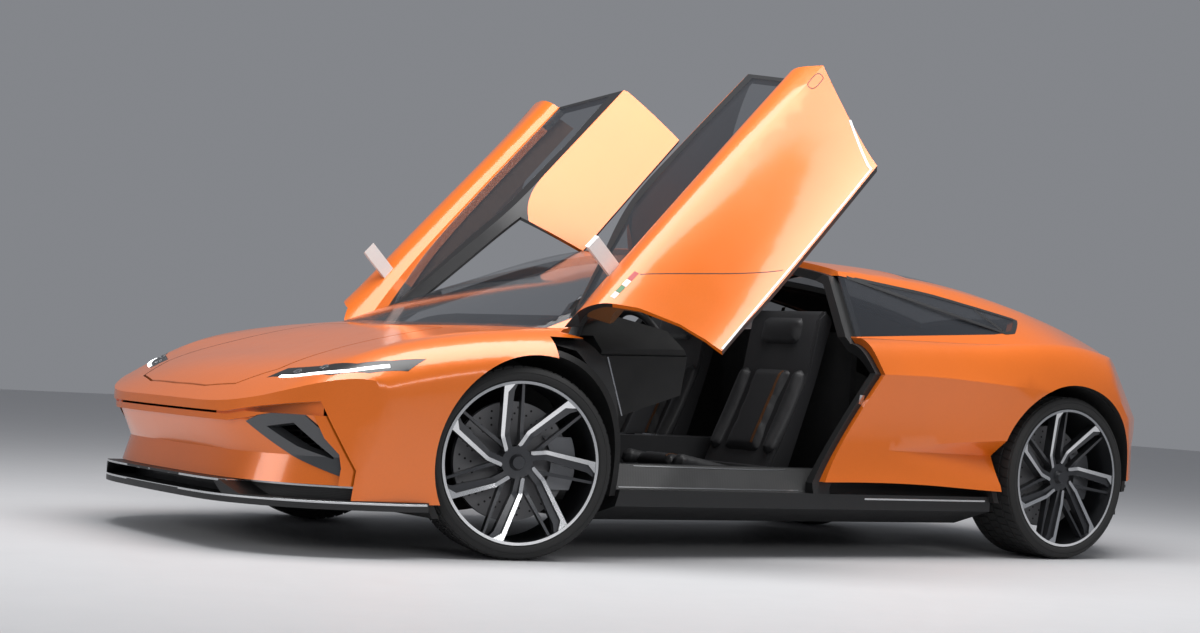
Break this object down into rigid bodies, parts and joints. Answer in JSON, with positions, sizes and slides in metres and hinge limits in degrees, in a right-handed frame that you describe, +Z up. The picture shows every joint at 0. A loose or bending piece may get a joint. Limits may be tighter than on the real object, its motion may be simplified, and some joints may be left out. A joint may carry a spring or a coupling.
{
  "type": "supercar",
  "caption": "Low two-seat supercar with dihedral doors standing open, a front lid, a tailgate, steered front wheels and a glazed cabin.",
  "frame": {"origin": "on the ground under the middle of the overall box", "axes": "+X forward, +Y to the car's left, +Z up"},
  "size_m": [4.56, 2.6662, 1.9285],
  "materials": {
    "body_paint": "orange metallic clear-coated paint",
    "tinted_glass": "dark tinted glass",
    "lamp_lens": "smoked lamp lens over a white light bar",
    "tail_lamp": "red lamp bar",
    "carbon": "satin carbon-fibre composite",
    "dark_trim": "dark moulded plastic",
    "bezel": "dark grey satin plastic",
    "door_leather": "brown leather over a padded card",
    "seat_leather": "dark grey leather with brown accents",
    "tyre_rubber": "black rubber",
    "wheel_alloy": "diamond-cut face over dark grey",
    "brake_iron": "drilled machined disc",
    "caliper_grey": "grey painted caliper and upright",
    "battery_case": "plain battery casing",
    "mirror_white": "pale gloss camera mirror"
  },
  "bodies": {
    "chassis": {"front_body": "body_paint", "headlamps": "lamp_lens", "fixed_windows": "tinted_glass", "rear_body": "body_paint", "rear_panel": "dark_trim", "tail_lamps": "tail_lamp", "sills": "carbon", "aperture_frames": "dark_trim", "front_fascia": "body_paint", "intake_bezels": "bezel", "front_splitter": "carbon", "floor": "carbon", "wheel_housings": "dark_trim", "battery": "battery_case", "bulkheads": "dark_trim", "luggage_trays": "dark_trim", "dashboard": "dark_trim", "seats": "seat_leather", "rear_hub_carriers": "caliper_grey", "wishbones": "battery_case"},
    "hood": {"hood": "body_paint"},
    "tailgate": {"tailgate": "body_paint", "tailgate_glass": "tinted_glass"},
    "steering_wheel": {"steering_wheel": "seat_leather"},
    "door_left": {"door_left_skin": "body_paint", "door_left_glass": "tinted_glass", "door_left_trim": "door_leather", "door_left_mirror": "mirror_white"},
    "knuckle_left": {"knuckle_front_left": "caliper_grey"},
    "door_right": {"door_right_skin": "body_paint", "door_right_glass": "tinted_glass", "door_right_trim": "door_leather", "door_right_mirror": "mirror_white"},
    "knuckle_right": {"knuckle_front_right": "caliper_grey"},
    "wheel_front_left": {"tyre_front_left": "tyre_rubber", "rim_front_left": "wheel_alloy", "disc_front_left": "brake_iron"},
    "wheel_front_right": {"tyre_front_right": "tyre_rubber", "rim_front_right": "wheel_alloy", "disc_front_right": "brake_iron"},
    "wheel_rear_left": {"tyre_rear_left": "tyre_rubber", "rim_rear_left": "wheel_alloy", "disc_rear_left": "brake_iron"},
    "wheel_rear_right": {"tyre_rear_right": "tyre_rubber", "rim_rear_right": "wheel_alloy", "disc_rear_right": "brake_iron"}
  },
  "joints": [
    {"name": "door_left_hinge", "type": "hinge", "parent": "chassis", "child": "door_left", "pos_m": [1.049, 0.802, 0.855], "axis": [0.708, 0.629, -0.321], "range_deg": [-66.9, 0]},
    {"name": "door_right_hinge", "type": "hinge", "parent": "chassis", "child": "door_right", "pos_m": [1.049, -0.802, 0.855], "axis": [-0.708, 0.629, 0.321], "range_deg": [-66.9, 0]},
    {"name": "hood_hinge", "type": "hinge", "parent": "chassis", "child": "hood", "pos_m": [1.4094, 0, 0.79512], "axis": [0, -1, 0], "range_deg": [0, 50]},
    {"name": "tailgate_hinge", "type": "hinge", "parent": "chassis", "child": "tailgate", "pos_m": [-0.9078, 0, 1.18728], "axis": [0, 1, 0], "range_deg": [0, 55]},
    {"name": "steer_left", "type": "hinge", "parent": "chassis", "child": "knuckle_left", "pos_m": [1.24, 0.749, 0.345], "axis": [0, 0, 1], "range_deg": [-16, 44]},
    {"name": "steer_right", "type": "hinge", "parent": "chassis", "child": "knuckle_right", "pos_m": [1.24, -0.749, 0.345], "axis": [0, 0, 1], "range_deg": [-16, 44]},
    {"name": "steering_wheel_turn", "type": "hinge", "parent": "chassis", "child": "steering_wheel", "pos_m": [0.394, 0.37, 0.77], "axis": [-0.922, 0, 0.3872], "range_deg": [-224, 616]},
    {"name": "roll_front_left", "type": "hinge", "parent": "knuckle_left", "child": "wheel_front_left", "pos_m": [1.25657, 0.81546, 0.345], "axis": [0.2419, 0.9703, 0], "continuous": true},
    {"name": "roll_front_right", "type": "hinge", "parent": "knuckle_right", "child": "wheel_front_right", "pos_m": [1.22343, -0.81546, 0.345], "axis": [0.2419, 0.9703, 0], "continuous": true},
    {"name": "roll_rear_left", "type": "hinge", "parent": "chassis", "child": "wheel_rear_left", "pos_m": [-1.455, 0.8, 0.345], "axis": [0, 1, 0], "continuous": true},
    {"name": "roll_rear_right", "type": "hinge", "parent": "chassis", "child": "wheel_rear_right", "pos_m": [-1.455, -0.8, 0.345], "axis": [0, 1, 0], "continuous": true}
  ],
  "couplings": [
    {"joint": "steer_right", "follows": "steer_left", "ratio": 1},
    {"joint": "steering_wheel_turn", "follows": "steer_left", "ratio": 14}
  ]
}
